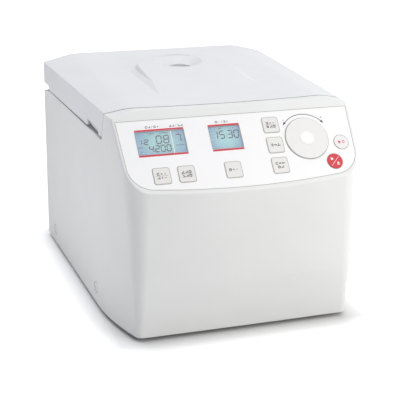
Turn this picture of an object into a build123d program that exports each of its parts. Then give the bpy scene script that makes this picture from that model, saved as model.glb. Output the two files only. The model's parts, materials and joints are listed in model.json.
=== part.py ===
from build123d import *
import os
from math import cos, radians, sin, sqrt, tan

# Bench centrifuge for two microplates. Millimetres, +Z up, front towards -Y, standing on z = 0.

# ---- case -------------------------------------------------------------------
wall = 3.0
back_y = 179.0                 # rear face of the case and of the lid
knee_y = -75.0                 # where the flanks start to turn in towards the front
rear_half = 147.6              # half width at the rear, the widest place
rear_corner = 2.6              # radius of the rear corners in plan
low_z = 5.2                    # lower edge of the case above the bench
crease_z = 62.3                # fold where the front face starts to lean back
upper_z = 176.0                # flanks stand upright from here up
high_z = 262.0                 # above everything, only for cutting
# half width at the knee and at the front, front y, bow of the front, corner radius
low_plan = (141.6, 121.2, -177.8, 0.8, 8.0)
crease_plan = (140.0, 124.0, -184.6, 3.6, 14.0)
high_plan = (138.0, 131.2, -187.0, 6.5, 26.0)

# ---- control panel ----------------------------------------------------------
panel_lean = 41.6              # degrees away from vertical
panel_top_y, panel_top_z = -126.5, 232.6
panel = Plane(origin=(0, panel_top_y, panel_top_z), x_dir=(1, 0, 0),
              z_dir=(0, -cos(radians(panel_lean)), sin(radians(panel_lean))))
overlay_t = 0.8
key_size, key_gap = 17.7, 0.2
dial_gap = 0.3
keys = {                       # centre of each square key: across, up the panel
    "key_speed": (-93.4, -65.5), "key_ramp": (-66.3, -65.5), "key_time": (-14.4, -65.3),
    "key_program": (38.9, -16.8), "key_store": (38.9, -40.9), "key_quick": (38.9, -65.0)}
buttons = {"button_start": (115.7, -43.8, 8.2), "button_stop": (102.6, -65.8, 8.7)}
dial_x, dial_y, dial_r = 76.8, -36.0, 24.4
screens = {"speed": (-86.4, -26.7, 53.3, 27.0), "timer": (-14.5, -26.4, 34.8, 27.0)}
board_w = -13.0                # front of the control board below the panel face
lens_w, glass_w, glass_low_w = -1.1, -1.2, -2.4      # back of the lens, front and back of the glass

# ---- lid --------------------------------------------------------------------
seam_mid_y, seam_side_y, seam_tilt = -110.0, -98.0, 20.0
seam_gap = 1.2
line_front_z, line_back_z = 206.9, 203.8     # lower edge of the lid skirt
line_front_y = -93.0
case_top_z = 203.2                           # upper edge of the case beside the lid
notch_y0, notch_y1, notch_z = -77.0, -33.0, 213.3    # finger notch in the skirt
top_front_z, top_back_z = 241.5, 244.0       # flat of the lid
flat_front, flat_back = 112.0, 110.0         # half width of that flat
shoulder_front_z, shoulder_back_z = 235.1, 235.4
hinge_y, hinge_z, hinge_x = 165.0, 216.5, 96.0
lock_y, lock_z = -64.0, 166.0                # pivot of the lock hook
relief_y, relief_z = 150.5, 209.0            # corner cut away so that the lid can swing
ramp_low_y, ramp_low_z = -60.0, 241.9        # raised rear part of the lid
ramp_high_y, ramp_high_z = 105.0, 253.4
ramp_half, ramp_centre_y = 53.0, 52.0
ramp_draft, foot_draft = 36.0, 68.0          # flank of the raised part, and its soft foot
foot_z = 245.2                               # height where the foot runs into the flank
liner_z = 202.0                              # underside of the inner lid

# ---- chamber and rotor ------------------------------------------------------
spin_y = 68.0                                # rotor axis, also the viewing port
deck_z = 195.0
deck_t = 3.0
ledge_z = 205.8                              # floor of the finger notches
bowl_r, bowl_floor_z, bowl_t = 97.0, 88.0, 1.2
rotor_r, rotor_low_z, rotor_high_z = 91.0, 98.0, 188.0
plate_l, plate_w, plate_h = 127.76, 85.48, 14.35   # standard microplate
pocket_clear = 0.6
pocket_x = 44.5                              # inner face of each plate pocket
shaft_r = 6.0
port_r, port_rim_r, port_z = 16.5, 30.0, 243.5
collar_r, collar_lip = 33.0, 2.5              # ring around the port, and its flange below

# ---- rear ---------------------------------------------------------------------
inlet_x, inlet_z = 89.0, 52.0
switch_x, switch_z = 52.0, 47.0
rocker_y, rocker_half, rocker_tilt = 176.0, 10.2, 10.0

# ---- base -------------------------------------------------------------------
plate_z, plate_t = 8.0, 1.5                  # steel base plate
foot_places = [(-104, -148), (104, -148), (-118, 152), (118, 152)]
base_screw_places = [(-121, -120), (121, -120), (-132, 20), (132, 20), (-60, 166), (60, 166)]
deck_screw_places = [(-125, -72), (125, -72), (-129, 20), (129, 20), (-128, 165), (128, 165)]
lid_screw_places = [(-112, -70), (112, -70), (-118, 40), (118, 40), (-72, 154), (72, 154),
                    (-45, -80), (45, -80)]
rear_screw_places = [(x, z) for x in (-120, 0, 120) for z in (19.5, 188.5)]
mount_r = 54.0                               # rubber mounts of the motor, on a circle
mount_angles = (45, 135, 225, 315)
cap_places = [(-68.0, 23.0), (134.0, 22.0)]  # round covers on both flanks: y, z
cap_r = 7.0


def block(x0, x1, y0, y1, z0, z1):
    """Box between two corners."""
    return Pos((x0 + x1) / 2, (y0 + y1) / 2, (z0 + z1) / 2) * Box(x1 - x0, y1 - y0, z1 - z0)


def rod(x, y, z0, z1, r):
    """Upright cylinder."""
    return Pos(x, y, (z0 + z1) / 2) * Cylinder(r, z1 - z0)


def ring(x, y, z0, z1, r_in, r_out):
    return rod(x, y, z0, z1, r_out) - rod(x, y, z0 - 1, z1 + 1, r_in)


def cross_rod(y, z, x0, x1, r):
    """Cylinder lying along X."""
    return Pos((x0 + x1) / 2, y, z) * Rot(0, 90, 0) * Cylinder(r, x1 - x0)


def along_x(points, x0, x1):
    """Outline in the YZ plane, pushed from x0 to x1."""
    face = make_face(Polyline(*points, close=True))
    return Pos(x0, 0, 0) * extrude(Plane.YZ * face, x1 - x0)


def on_panel(x, y, shape):
    return panel * Pos(x, y, 0) * shape


def panel_slab(w_low, w_high):
    """Thick sheet lying parallel to the panel face, from depth w_low to w_high."""
    return panel * Pos(0, 0, (w_low + w_high) / 2) * Box(420, 420, w_high - w_low)


def both_sides(shape):
    return [shape, mirror(shape, Plane.YZ)]


# ---- case outline -----------------------------------------------------------
def outline(z, knee, front, front_y, bow, corner, inset=0.0):
    """Plan of the case at one height: straight flanks, curved nose, rounded corners."""
    b, k, f = rear_half - inset, knee - inset, front - inset
    yb, yf = back_y - inset, front_y + inset
    corner_y = yf + bow
    edges = [
        Line((-b, yb), (b, yb)),
        Line((b, yb), (k, knee_y)),
        TangentArc((k, knee_y), (f, corner_y), tangent=(k - b, knee_y - yb)),
        ThreePointArc((f, corner_y), (0, yf), (-f, corner_y)),
        TangentArc((-k, knee_y), (-f, corner_y), tangent=(b - k, knee_y - yb)),
        Line((-k, knee_y), (-b, yb))]
    face = make_face(edges)
    face = fillet([v for v in face.vertices() if v.Y > yb - 1], rear_corner - min(inset, 1.2))
    face = fillet([v for v in face.vertices() if v.Y < corner_y + 1], max(corner - inset, 1.5))
    return Pos(0, 0, z) * face


def plan_high(inset=0.0, z=upper_z):
    return outline(z, *high_plan, inset)


def case_block(inset=0.0):
    """The whole case as one closed form, before it is cut."""
    sections = [
        outline(low_z, *low_plan, inset),
        outline(crease_z, *crease_plan, inset),
        plan_high(inset, upper_z),
        plan_high(inset, high_z)]
    return loft(sections, ruled=True)


def plan_prism(inset, z0, z1):
    return extrude(plan_high(inset, z0), z1 - z0)


def below_top(drop=0.0):
    """Everything under the lid's top surface, lowered by drop."""
    def profile(y, flat, top_z, shoulder_z, half):
        slope = (top_z - shoulder_z) / (half - flat)
        reach = 170.0
        edge_z = shoulder_z - slope * (reach - half) - drop
        points = [(-reach, -20), (-reach, edge_z), (-flat, top_z - drop),
                  (flat, top_z - drop), (reach, edge_z), (reach, -20)]
        face = make_face(Polyline(*points, close=True))
        bends = [v for v in face.vertices() if abs(v.X) < reach - 1]
        return Pos(0, y, 0) * Rot(90, 0, 0) * fillet(bends, 60)
    return loft([profile(-200, flat_front, top_front_z - 0.9, shoulder_front_z, 137),
                 profile(200, flat_back, top_back_z + 0.2, shoulder_back_z, 146)], ruled=True)


def behind_seam(offset=0.0):
    """Everything behind the joint between lid and panel; offset moves it to the rear."""
    ref_z, z0, z1 = 241.0, 150.0, 280.0
    shift = (ref_z - z0) * tan(radians(seam_tilt)) + offset
    side, mid = seam_side_y + shift, seam_mid_y + shift
    edges = [ThreePointArc((-160, side), (0, mid), (160, side)),
             Polyline((160, side), (160, 330), (-160, 330), (-160, side))]
    height = z1 - z0
    lean = (0, -sin(radians(seam_tilt)), cos(radians(seam_tilt)))
    return extrude(Pos(0, 0, z0) * make_face(edges), height / cos(radians(seam_tilt)), dir=lean)


def line_z(y):
    slope = (line_back_z - line_front_z) / (back_y - line_front_y)
    return line_front_z + slope * (y - line_front_y)


def above_line(rise=0.0):
    return along_x([(-200, line_z(-200) + rise), (220, line_z(220) + rise), (220, 300), (-200, 300)],
                   -170, 170)


def above_case(rise=0.0):
    """Everything over the upper edge of the case, which drops at the rear for the swinging lid."""
    z = case_top_z + rise
    return along_x([(-200, z), (150, z), (hinge_y, z - 3.3), (back_y, z - 4.9), (220, z - 4.9),
                    (220, 300), (-200, 300)], -170, 170)


def ramp_cone(r, base_z, height, draft):
    """Tapered block with a round rear end; r is its half width at the bottom."""
    narrow, front = r - 5.0, ramp_low_y - 34.0
    edges = [Line((-narrow, front), (narrow, front)), Line((narrow, front), (r, ramp_centre_y)),
             ThreePointArc((r, ramp_centre_y), (0, ramp_centre_y + r), (-r, ramp_centre_y)),
             Line((-r, ramp_centre_y), (-narrow, front))]
    return extrude(Pos(0, 0, base_z) * make_face(edges), height, taper=draft)


def ramp(inset=0.0, crest_r=0.0):
    """Raised rear part of the lid: round end, drafted flanks with a soft foot, top rising to the rear."""
    base_z = 238.0
    foot_half = ramp_half + (ramp_high_z - foot_z) * tan(radians(ramp_draft)) - inset
    flank = ramp_cone(foot_half + (foot_z - base_z) * tan(radians(ramp_draft)), base_z, 20, ramp_draft)
    foot = ramp_cone(foot_half + (foot_z - base_z) * tan(radians(foot_draft)), base_z, 12, foot_draft)
    flank -= over_ramp(inset)
    if crest_r:
        crest = [e for e in flank.edges() if e.center().Z > 243 and e.center().Y > ramp_low_y - 30
                 and all(abs((e @ t).Z - ramp_z((e @ t).Y)) < 0.05 for t in (0, 0.5, 1))]
        flank = fillet(crest, crest_r)
    return flank + (foot - over_ramp(inset))


def lid_block(inset=0.0):
    prism = plan_prism(inset, 190, high_z)
    return (prism & below_top(inset) & behind_seam(inset)) + ramp(inset)


# ---- case moulding ----------------------------------------------------------
def rounded_plate(w, h, r, w_low, w_high):
    """Rounded rectangle lying in the XY plane, between two heights."""
    return Pos(0, 0, w_low) * extrude(RectangleRounded(w, h, r), w_high - w_low)


def overlay_outline(grow=0.0):
    """Outline of the printed overlay on the panel."""
    half, low, side_low = 132.3 + grow, -86.0 - grow, -77.6 - grow
    low_half = half - 3.8
    edges = [
        Line((-half, grow), (half, grow)), Line((half, grow), (low_half, side_low)),
        ThreePointArc((low_half, side_low), (0, low), (-low_half, side_low)),
        Line((-low_half, side_low), (-half, grow))]
    face = make_face(edges)
    face = fillet([v for v in face.vertices() if v.Y > -10], 1.0)
    return fillet([v for v in face.vertices() if v.Y < -60], 28.0)


def key_cutters(w_low, w_high, grow):
    """Holes in the panel for every key and button."""
    holes = [on_panel(x, y, rounded_plate(key_size + 2 * grow, key_size + 2 * grow, 2 + grow,
                                          w_low, w_high)) for x, y in keys.values()]
    holes += [on_panel(x, y, Pos(0, 0, (w_low + w_high) / 2) * Cylinder(r + grow, w_high - w_low))
              for x, y, r in buttons.values()]
    return holes


def screen_cutters(w_low, w_high, grow):
    return [on_panel(x, y, rounded_plate(w + 2 * grow, h + 2 * grow, 0.8 + max(grow, 0), w_low, w_high))
            for x, y, w, h in screens.values()]


def panel_edges(shape):
    """Edges that lie on the flat of the control panel."""
    def on_face(edge):
        return all(abs(panel.to_local_coords(edge @ t).Z) < 0.05 for t in (0, 0.5, 1))
    return [edge for edge in shape.edges() if on_face(edge)]


def wall_bosses(places, z0, z1, r):
    """Screw bosses with a web to the nearest wall: the flank, or the rear for those in the middle."""
    bosses = []
    for x, y in places:
        if abs(x) > 100:
            reach = 30 if x > 0 else -30
            web = block(min(x, x + reach), max(x, x + reach), y - 1.25, y + 1.25, z0, z1)
        else:
            web = block(x - 1.25, x + 1.25, y, back_y - 1, z0, z1)
        bosses.append(rod(x, y, z0, z1, r) + web)
    return bosses


def side_ribs():
    """Upright stiffening ribs on the inside of both flanks."""
    ribs = []
    for y in (-40, -5, 62, 104):
        for x0, x1 in ((-150, -134), (134, 150)):
            ribs.append(block(x0, x1, y - 1.1, y + 1.1, 30, 170))
    return ribs


def side_x(z, y):
    """Half width of the case at a point of its flank."""
    z0, z1, plan0, plan1 = low_z, crease_z, low_plan, crease_plan
    if z > crease_z:
        z0, z1, plan0, plan1 = crease_z, upper_z, crease_plan, high_plan
    knee = plan0[0] + (plan1[0] - plan0[0]) * (z - z0) / (z1 - z0)
    return knee + (rear_half - knee) * (y - knee_y) / (back_y - knee_y)


def housing_shell():
    outer = (case_block() & below_top(0.3)) - panel_slab(0, 200)
    outer -= behind_seam(-seam_gap) & above_case()
    outer = fillet(panel_edges(outer), 1.8)
    inner = (case_block(wall) & below_top(0.3 + wall)) - panel_slab(-overlay_t - wall, 200)
    inner += plan_prism(wall, upper_z - 20, 230) & behind_seam(-seam_gap) & block(
        -200, 200, -200, 200, 150, 230)
    seam_wall = (behind_seam(-seam_gap - wall) - behind_seam(-seam_gap)) & block(
        -160, 160, -150, -60, deck_z - deck_t, 260)
    inner -= seam_wall
    extras = wall_bosses(deck_screw_places, 140, deck_z - deck_t, 5.0)
    extras += wall_bosses(base_screw_places, plate_z + plate_t, 23, 4.5) + side_ribs()
    for y, z in cap_places:
        x = side_x(z, y)
        extras += both_sides(cross_rod(y, z, x - 9, x + 5, cap_r + 3))
    inner = inner - Compound(extras)
    shell = outer - inner
    shell -= block(-116, 116, back_y - wall - 2, back_y + 2, 24, 184)
    cutters = []
    for y, z in cap_places:
        x = side_x(z, y)
        cutters += both_sides(cross_rod(y, z, x - 2.2, x + 6, cap_r + 0.15))
        cutters += both_sides(cross_rod(y, z, x - 12, x + 6, 3.0))
    cutters += [rod(x, y, deck_z - 25, deck_z, 1.6) for x, y in deck_screw_places]
    cutters += [rod(x, y, 5, 30, 1.6) for x, y in base_screw_places]
    cutters += [Pos(x, back_y, z) * Rot(90, 0, 0) * Cylinder(1.65, 8) for x, z in rear_screw_places]
    cutters.append(panel * Pos(0, 0, -overlay_t) * extrude(overlay_outline(0.15), 3))
    cutters += key_cutters(-8, 1, key_gap) + screen_cutters(-8, 1, 0.1)
    cutters.append(on_panel(dial_x, dial_y, Pos(0, 0, 0) * Cylinder(dial_r + dial_gap, 4.4)))
    cutters.append(on_panel(dial_x, dial_y, Pos(0, 0, -4) * Cylinder(6.2, 8)))
    return shell - Compound(cutters)


# ---- control panel pieces ---------------------------------------------------
def membrane_overlay():
    sheet = Pos(0, 0, -overlay_t) * extrude(overlay_outline(), overlay_t)
    sheet = panel * sheet
    cutters = key_cutters(-3, 3, key_gap) + screen_cutters(-3, 3, 0.1)
    cutters.append(on_panel(dial_x, dial_y, Cylinder(dial_r + dial_gap, 6)))
    return sheet - Compound(cutters)


def cap_with_stem(cap, flange, x, y):
    """Button cap, the flange that keeps it behind the panel, and the stem to its switch."""
    stem = Pos(0, 0, -7.5) * Cylinder(2.2, 4.2)
    return on_panel(x, y, cap + flange + stem)


def square_key(x, y):
    cap = rounded_plate(key_size, key_size, 2.0, -5.2, 0.6)
    rim = [e for e in cap.edges() if abs(e.center().Z - 0.6) < 0.01]
    flange = rounded_plate(key_size + 3, key_size + 3, 2.0, -5.6, -4.1)
    return cap_with_stem(chamfer(rim, 0.35), flange, x, y)


def round_button(x, y, r):
    cap = Pos(0, 0, -2.3) * Cylinder(r, 5.8)
    rim = [e for e in cap.edges() if abs(e.center().Z - 0.6) < 0.01]
    flange = Pos(0, 0, -4.85) * Cylinder(r + 1.5, 1.5)
    return cap_with_stem(chamfer(rim, 0.35), flange, x, y)


def dial_wheel():
    disc = Pos(0, 0, -0.2) * Cylinder(dial_r, 3.0)
    rim = [e for e in disc.edges() if abs(e.center().Z - 1.3) < 0.01]
    disc = chamfer(rim, 0.5) - Pos(0, 0, 1.3) * Cylinder(7.9, 1.0)
    return on_panel(dial_x, dial_y, disc + Pos(0, 0, -6.2) * Cylinder(3.0, 9.5))


def dial_centre():
    return on_panel(dial_x, dial_y, Pos(0, 0, 1.15) * Cylinder(7.8, 0.7))


def dial_encoder():
    body = rounded_plate(14, 14, 1, board_w, -8.0)
    bush = Pos(0, 0, -6.1) * Cylinder(5.0, 3.8)
    return on_panel(dial_x, dial_y, body + bush - Pos(0, 0, -8) * Cylinder(3.05, 14))


def display_modules():
    """Metal cans of the two screens, standing on the control board and reaching into the panel."""
    cans = []
    for x, y, w, h in screens.values():
        base = rounded_plate(w + 6, h + 6, 1, board_w, -4.0)
        cans.append(on_panel(x, y, base + rounded_plate(w - 0.4, h - 0.4, 0.6, -4.0, glass_low_w)))
    return Compound(children=cans)


def display_glass():
    return Compound(children=[on_panel(x, y, rounded_plate(w - 0.2, h - 0.2, 0.6, glass_low_w, glass_w))
                              for x, y, w, h in screens.values()])


def display_windows():
    """Clear lenses over the two screens, level with the overlay."""
    return Compound(children=[on_panel(x, y, rounded_plate(w - 0.1, h - 0.1, 0.7, lens_w, 0))
                              for x, y, w, h in screens.values()])


def control_board():
    """Board behind the panel with its chips, the switches of all keys, and its posts."""
    sheet = panel * Pos(-6, -42, board_w - 0.8) * Box(236, 74, 1.6)
    hole = on_panel(dial_x, dial_y, Pos(0, 0, board_w) * Cylinder(3.4, 6))
    chips = [on_panel(x, y, Pos(0, 0, board_w - 2.9) * Box(w, h, 2.6))
             for x, y, w, h in ((-50, -40, 22, 22), (0, -30, 16, 12), (40, -60, 12, 9))]
    switches = []
    for x, y, *rest in list(keys.values()) + list(buttons.values()):
        body = Pos(0, 0, board_w + 1.0) * Box(6.2, 6.2, 2.0)
        switches.append(on_panel(x, y, body + Pos(0, 0, board_w + 2.15) * Cylinder(1.7, 0.7)))
    posts = [on_panel(x, y, Pos(0, 0, -8.4) * Cylinder(2.6, 9.2))
             for x, y in ((-120.5, -10), (-118, -70), (106, -10), (58, -74), (-40, -74))]
    return Compound(children=[sheet - hole] + chips + switches + posts)


# ---- lid --------------------------------------------------------------------
def lid_cover():
    prism = plan_prism(0, 190, high_z) & below_top() & behind_seam()
    rim = [e for e in prism.edges() if e.center().Z > 234 and abs(e.center().X) > 118
           or e.center().Z > 234 and e.center().Y > 178]
    prism = fillet(rim, 1.5)
    outer = (prism + ramp(0, 2.0)) & above_line()
    hollow = lid_block(wall)
    hollow -= Compound([rod(x, y, liner_z + 1.6, 245, 4.5) for x, y in lid_screw_places])
    cover = outer - hollow
    cuts = []
    for y, x0, x1 in ((relief_y, -170, -118), (relief_y, 118, 170), (relief_y + 11, -119, 119)):
        relief = make_face(Polyline((y, 150), (220, 150), (220, relief_z), (y, relief_z), close=True))
        relief = fillet([v for v in relief.vertices() if v.X < y + 1 and v.Y > 190], 5.0)
        cuts.append(Pos(x0, 0, 0) * extrude(Plane.YZ * relief, x1 - x0))
    cuts += [block(x0, x1, notch_y0, notch_y1, 190, notch_z) for x0, x1 in ((-160, -128), (128, 160))]
    cuts.append(rod(0, spin_y, 220, 270, collar_r + 0.05))
    cuts += [rod(x, y, 200, liner_z + 14, 1.5) for x, y in lid_screw_places]
    return cover - Compound(cuts)


def ramp_z(y):
    """Height of the raised part's top surface."""
    slope = (ramp_high_z - ramp_low_z) / (ramp_high_y - ramp_low_y)
    return ramp_low_z + slope * (y - ramp_low_y)


def over_ramp(drop=0.0):
    return along_x([(-200, ramp_z(-200) - drop), (200, ramp_z(200) - drop), (200, 330), (-200, 330)],
                   -170, 170)


def port_collar():
    """Ring let into the lid from below, with the conical dish and the seat of the window."""
    neck = rod(0, spin_y, port_z - 4.6, 262, collar_r) - over_ramp()
    flange = rod(0, spin_y, port_z - 4.6, 262, collar_r + collar_lip) - over_ramp(wall + 0.1)
    rim_z = ramp_z(spin_y)
    dish = Plane.XZ * make_face(Polyline((0, port_z), (port_r, port_z), (port_rim_r, rim_z + 0.6),
                                         (port_rim_r + 1, 275), (0, 275), close=True))
    body = neck + flange - Pos(0, spin_y, 0) * revolve(dish, Axis.Z)
    lip = [e for e in body.edges() if abs((e @ 0.3).Z - ramp_z((e @ 0.3).Y)) < 0.02
           and sqrt((e @ 0.3).X ** 2 + ((e @ 0.3).Y - spin_y) ** 2) < collar_r - 0.5]
    return fillet(lip, 1.5) - rod(0, spin_y, 200, 260, port_r - 2.0) - rod(
        0, spin_y, 200, port_z - 2.0, port_r + 3.2)


def hinge_gaps():
    """Space kept free in the inner lid for the hinge ears."""
    return [block(x - 14, x + 14, 146, 200, 190, 260) for x in (-hinge_x, hinge_x)]


def lid_liner():
    """Pressed inner lid: flat pan with a raised rim, a round bead and the port opening."""
    tray = (plan_prism(8, liner_z, liner_z + 15) & behind_seam(8)) - block(-200, 200, 170, 200, 190, 260)
    inside = (plan_prism(9.5, liner_z + 1.5, liner_z + 16) & behind_seam(9.5))
    inside -= block(-200, 200, 168.5, 200, 190, 260)
    tray = tray - inside
    bead = Plane.XZ * make_face(Polyline((84, liner_z + 0.2), (88, liner_z - 1.6), (92, liner_z + 0.2),
                                         close=True))
    tray += Pos(0, spin_y, 0) * revolve(bead, Axis.Z)
    cuts = hinge_gaps() + [rod(0, spin_y, 190, 230, port_r + 0.2)]
    cuts += [rod(x, y, 190, 230, 1.7) for x, y in lid_screw_places]
    return tray - Compound(cuts)


def lid_screws():
    return Compound(children=[
        rod(x, y, liner_z - 1.8, liner_z, 3.0) + rod(x, y, liner_z, liner_z + 12, 1.45)
        for x, y in lid_screw_places])


def lid_gasket():
    lip = Plane.XZ * make_face(Polyline((98.5, liner_z), (98.5, liner_z - 3.0), (100, liner_z - 4.3),
                                        (103, liner_z - 4.3), (104.5, liner_z - 3.0), (104.5, liner_z),
                                        close=True))
    return Pos(0, spin_y, 0) * revolve(lip, Axis.Z)


def port_window():
    return rod(0, spin_y, port_z - 4.5, port_z - 2.0, port_r + 3.0)


def port_tube():
    """Sleeve that holds the window up against the lid and guides the view down."""
    sleeve = ring(0, spin_y, liner_z, port_z - 4.5, port_r - 1.6, port_r)
    return sleeve + ring(0, spin_y, port_z - 7.5, port_z - 4.5, port_r - 1.6, port_r + 3.0) + ring(
        0, spin_y, liner_z - 1.2, liner_z, port_r - 1.6, port_r + 3.5)


def lid_striker():
    """Hooked plate that goes down through the deck into the lock."""
    outline_pts = [(-86, liner_z - 2.5), (-66, liner_z - 2.5), (-66, liner_z), (-86, liner_z)]
    foot = along_x(outline_pts, -12, 12)
    blade = along_x([(-79.5, 172), (-76.5, 172), (-76.5, liner_z - 2.5), (-79.5, liner_z - 2.5)], -7, 7)
    eye = along_x([(-90, 175), (-60, 175), (-60, 186), (-90, 186)], -4, 4)
    return foot + blade - eye


def lid_hinges():
    """Two arms with knuckles that turn on the hinge pins."""
    arms = []
    for x in (-hinge_x, hinge_x):
        knuckle = cross_rod(hinge_y, hinge_z, x - 4.5, x + 4.5, 8.0)
        arm = along_x([(118, liner_z + 1.5), (148, liner_z + 1.5), (hinge_y + 4, hinge_z - 6.8),
                       (hinge_y, hinge_z + 7.9), (118, liner_z + 8)], x - 4.5, x + 4.5)
        foot = block(x - 10, x + 10, 118, 144, liner_z + 1.5, liner_z + 4.0)
        arms.append(knuckle + arm + foot - cross_rod(hinge_y, hinge_z, x - 6, x + 6, 4.05))
    return Compound(children=arms)


# ---- hinge brackets, deck and lock --------------------------------------------
def hinge_brackets():
    """Ears that carry the pins, leaning in from the front so that the rear of the lid can swing past."""
    parts = []
    eye_r = 8.5
    profile = [(143, deck_z), (157.5, deck_z), (158.3, hinge_z - 10), (hinge_y, hinge_z - eye_r + 0.1),
               (hinge_y, hinge_z), (hinge_y - eye_r + 0.1, hinge_z)]
    for x in (-hinge_x, hinge_x):
        base = block(x - 11, x + 11, 140, 170, deck_z, deck_z + 2.5)
        ears = []
        for x0 in (x - 10, x + 7):
            ears.append(along_x(profile, x0, x0 + 3) + cross_rod(hinge_y, hinge_z, x0, x0 + 3, eye_r))
        body = base + ears[0] + ears[1]
        parts.append(body - cross_rod(hinge_y, hinge_z, x - 14, x + 14, 4.02))
    return Compound(children=parts)


def hinge_pins():
    """Headed pins, with the friction washers between ears and knuckles."""
    parts = []
    for x, side in ((-hinge_x, 1), (hinge_x, -1)):
        head = x + side * 11.2
        parts.append(cross_rod(hinge_y, hinge_z, x - 11.2, x + 11.2, 4.0)
                     + cross_rod(hinge_y, hinge_z, head - 1.2, head + 1.2, 5.5))
        for at in (x - 5.85, x + 5.85):
            parts.append(cross_rod(hinge_y, hinge_z, at - 1.05, at + 1.05, 7.0)
                         - cross_rod(hinge_y, hinge_z, at - 2, at + 2, 4.05))
    return Compound(children=parts)


def top_deck():
    """Deck under the lid: round opening, raised side walls behind the lid skirt, lock slot."""
    deck = plan_prism(wall + 0.3, deck_z - deck_t, deck_z) & behind_seam(-seam_gap + 0.3)
    curb = plan_prism(4.4, deck_z, 230) - plan_prism(6.4, deck_z - 1, 231)
    curb = curb & behind_seam(4.4) & block(-200, 200, -200, 142, 180, 240)
    curb -= above_line(5.0)
    curb -= block(-110, 110, -200, 200, 180, 240)
    ledge = plan_prism(wall + 0.3, deck_z - 1, ledge_z) - plan_prism(7.6, deck_z - 2, ledge_z + 1)
    for x0, x1 in ((-160, -120), (120, 160)):
        curb -= block(x0, x1, notch_y0 - 4, notch_y1 + 4, ledge_z, 240)
        curb += ledge & block(x0, x1, notch_y0 - 4, notch_y1 + 4, 180, 240)
    lip = ring(0, spin_y, deck_z - deck_t - 3, deck_z - deck_t + 0.5, bowl_r + 8.2, bowl_r + 10.5)
    deck = deck + curb + lip
    cuts = [rod(0, spin_y, 180, 200, bowl_r + 1.6), block(-9, 9, -86, -70, 180, 200)]
    cuts += [rod(x, y, 180, 200, 1.8) for x, y in deck_screw_places]
    return deck - Compound(cuts)


def deck_screws():
    return Compound(children=[
        rod(x, y, deck_z, deck_z + 2.0, 3.2) + rod(x, y, deck_z - 16, deck_z, 1.55)
        for x, y in deck_screw_places])


def lock_housing():
    """Frame under the deck that the striker enters; the hook swings in it."""
    outer = block(-16, 16, -98, -58, 160, deck_z - deck_t)
    inner = block(-12.5, 12.5, -94.5, -50, 155, deck_z - deck_t + 1)
    lips = block(-26, 26, -96, -88, deck_z - deck_t - 2.5, deck_z - deck_t)
    frame = outer - inner + lips - cross_rod(lock_y, lock_z, -18, 18, 2.5)
    return Compound(children=[frame, cross_rod(lock_y, lock_z, -16, 16, 2.5)])


def lock_hook():
    """Pawl that swings its nose through the eye of the striker."""
    side = along_x([(-68, 162), (-60, 162), (-60, 172), (-66, 186), (-72.5, 186), (-72.5, 182.5),
                    (-69.5, 181)], -3, 3)
    return side + cross_rod(lock_y, lock_z, -6, 6, 4.6) - cross_rod(lock_y, lock_z, -8, 8, 2.55)


def lock_motor():
    can = Pos(26, -74, 176) * Rot(90, 0, 0) * Cylinder(9, 26)
    gearbox = block(16, 33, -62, -52, 165, 187)
    return can + gearbox


# ---- chamber and drive --------------------------------------------------------
def turned(points, x=0, y=None):
    """Solid of revolution about the rotor axis from (radius, height) points."""
    face = Plane.XZ * make_face(Polyline(*points, close=True))
    return Pos(x, spin_y if y is None else y, 0) * revolve(face, Axis.Z)


def chamber_bowl():
    z, t, r = bowl_floor_z, bowl_t, bowl_r
    rim = deck_z
    inside = [(23, z + 6.5), (27, z + 6.5), (31, z + t), (r - 14, z + t), (r, z + 15), (r, rim + t + 0.1)]
    outside = [(r + 7, rim + t + 0.1), (r + 7.6, rim), (r + t, rim), (r + t, z + 14.5),
               (r - 13.5, z), (30, z), (26, z + 5.3), (23, z + 5.3)]
    return turned(inside + outside)


def guard_ring():
    return ring(0, spin_y, 100, deck_z - deck_t, bowl_r + 2.0, bowl_r + 5.0)


def shaft_boot():
    """Rubber bellows between the motor and the bowl floor."""
    z = bowl_floor_z
    wave = [(14, 83), (20, 83), (20, 85), (17, 86.5), (22.5, 88.5), (22.5, z + 6.6), (27, z + 6.6),
            (27, z + 8), (21, z + 8), (21, 89.5), (15, 87), (15, 85.5), (14, 85.5)]
    return turned(wave)


def motor_housing():
    can = turned([(15, 24), (44, 24), (46, 26), (46, 72), (40, 80), (16, 83), (15, 83), (15, 79.5),
                  (38.5, 76.5), (42.5, 70), (42.5, 28), (15, 28)])
    fins = [Pos(0, spin_y, 0) * Rot(0, 0, a) * block(45.5, 50, -1, 1, 30, 68) for a in range(0, 360, 20)]
    return can + Compound(fins)


def motor_stator():
    core = ring(0, spin_y, 34, 66, 27.5, 42.3)
    slots = [Pos(0, spin_y, 0) * Rot(0, 0, a) * block(26, 38, -2.6, 2.6, 30, 70) for a in range(0, 360, 30)]
    return core - Compound(slots)


def motor_bearings():
    def bearing(z0, z1):
        outer = ring(0, spin_y, z0, z1, 11.6, 14.9)
        inner = ring(0, spin_y, z0, z1, shaft_r + 0.05, 8.8)
        shield = ring(0, spin_y, z0 + 1, z1 - 1, 8.5, 11.9)
        return outer + inner + shield
    return Compound(children=[bearing(28.5, 36.5), bearing(74, 82)])


def motor_shaft():
    """Shaft with its cone and threaded end, and the magnet drum pressed on it."""
    shaft = turned([(0, 25), (shaft_r, 25), (shaft_r, 104), (4.5, 116), (4.0, 116), (4.0, 134), (0, 134)])
    return Compound(children=[shaft, ring(0, spin_y, 40, 62, shaft_r, 26.5)])


def motor_plate():
    disc = ring(0, spin_y, 21, 24, 14, 60)
    cuts = [Pos(0, spin_y, 0) * Rot(0, 0, a) * rod(mount_r, 0, 15, 30, 3.2) for a in mount_angles]
    return disc - Compound(cuts)


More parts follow.
